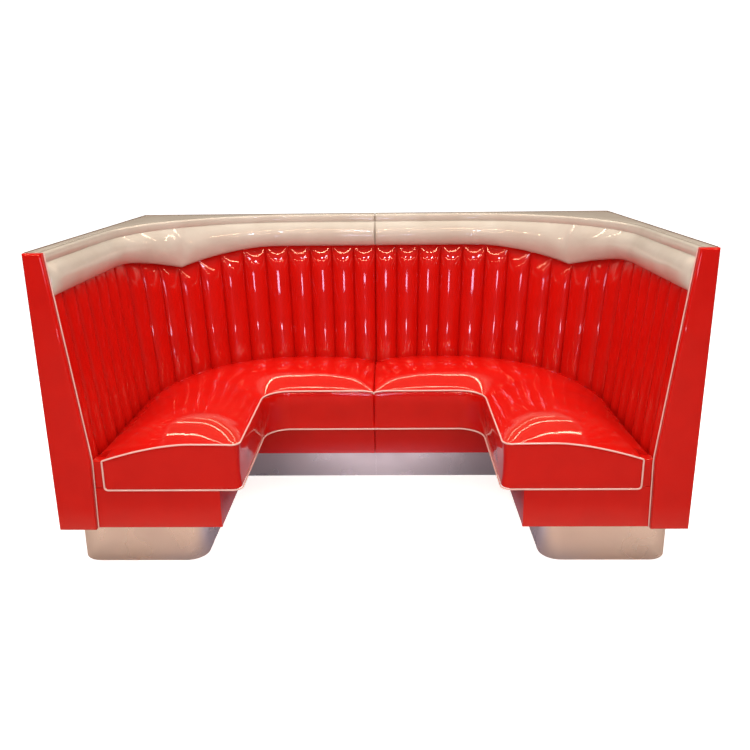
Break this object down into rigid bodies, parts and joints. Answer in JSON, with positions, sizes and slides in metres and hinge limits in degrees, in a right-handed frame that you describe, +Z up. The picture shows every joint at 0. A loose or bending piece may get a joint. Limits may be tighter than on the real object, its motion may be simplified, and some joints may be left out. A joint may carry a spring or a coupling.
{
  "type": "restaurant booth seating",
  "caption": "U-shaped restaurant booth with a curved channelled vinyl back, contrasting head roll, crowned L-shaped seats with piping, end panels and a recessed metal toe kick.",
  "frame": {"origin": "middle of the footprint, on the floor", "axes": "+X to the right-hand half as seen from the open front, +Y to the rear wall, +Z up; the open front faces -Y"},
  "size_m": [2.032, 1.219, 1.067],
  "materials": {
    "red_vinyl": "gloss",
    "cream_vinyl": "gloss",
    "welt_vinyl": "gloss",
    "frame_plywood": "matte",
    "toe_kick_steel": "satin",
    "fastener_steel": "satin"
  },
  "bodies": {
    "root": {"left_rear_back_pad": "red_vinyl", "right_rear_back_pad": "red_vinyl", "left_side_back_pad": "red_vinyl", "right_side_back_pad": "red_vinyl", "left_back_form": "frame_plywood", "right_back_form": "frame_plywood", "left_head_roll": "cream_vinyl", "right_head_roll": "cream_vinyl", "left_cap_bead": "cream_vinyl", "right_cap_bead": "cream_vinyl", "left_top_cap": "cream_vinyl", "right_top_cap": "cream_vinyl", "left_seat_cushion": "red_vinyl", "right_seat_cushion": "red_vinyl", "left_seat_board": "frame_plywood", "right_seat_board": "frame_plywood", "left_seat_welt": "welt_vinyl", "right_seat_welt": "welt_vinyl", "left_front_filler": "red_vinyl", "right_front_filler": "red_vinyl", "left_end_panel_cover": "red_vinyl", "right_end_panel_cover": "red_vinyl", "left_end_panel_board": "frame_plywood", "right_end_panel_board": "frame_plywood", "left_end_panel_welt": "welt_vinyl", "right_end_panel_welt": "welt_vinyl", "left_side_wall": "red_vinyl", "right_side_wall": "red_vinyl", "left_rear_wall": "red_vinyl", "right_rear_wall": "red_vinyl", "left_end_gable": "frame_plywood", "right_end_gable": "frame_plywood", "left_back_studs": "frame_plywood", "right_back_studs": "frame_plywood", "left_corner_formers": "frame_plywood", "right_corner_formers": "frame_plywood", "left_centre_gable": "frame_plywood", "right_centre_gable": "frame_plywood", "left_base_front_panel": "red_vinyl", "right_base_front_panel": "red_vinyl", "left_base_side_panel": "red_vinyl", "right_base_side_panel": "red_vinyl", "left_base_rear_panel": "red_vinyl", "right_base_rear_panel": "red_vinyl", "left_base_floor": "frame_plywood", "right_base_floor": "frame_plywood", "left_base_gables": "frame_plywood", "right_base_gables": "frame_plywood", "left_toe_kick": "toe_kick_steel", "right_toe_kick": "toe_kick_steel", "left_plinth_frame": "frame_plywood", "right_plinth_frame": "frame_plywood", "joining_bolts": "fastener_steel", "joining_nuts": "fastener_steel", "joining_washers": "fastener_steel"}
  },
  "joints": []
}
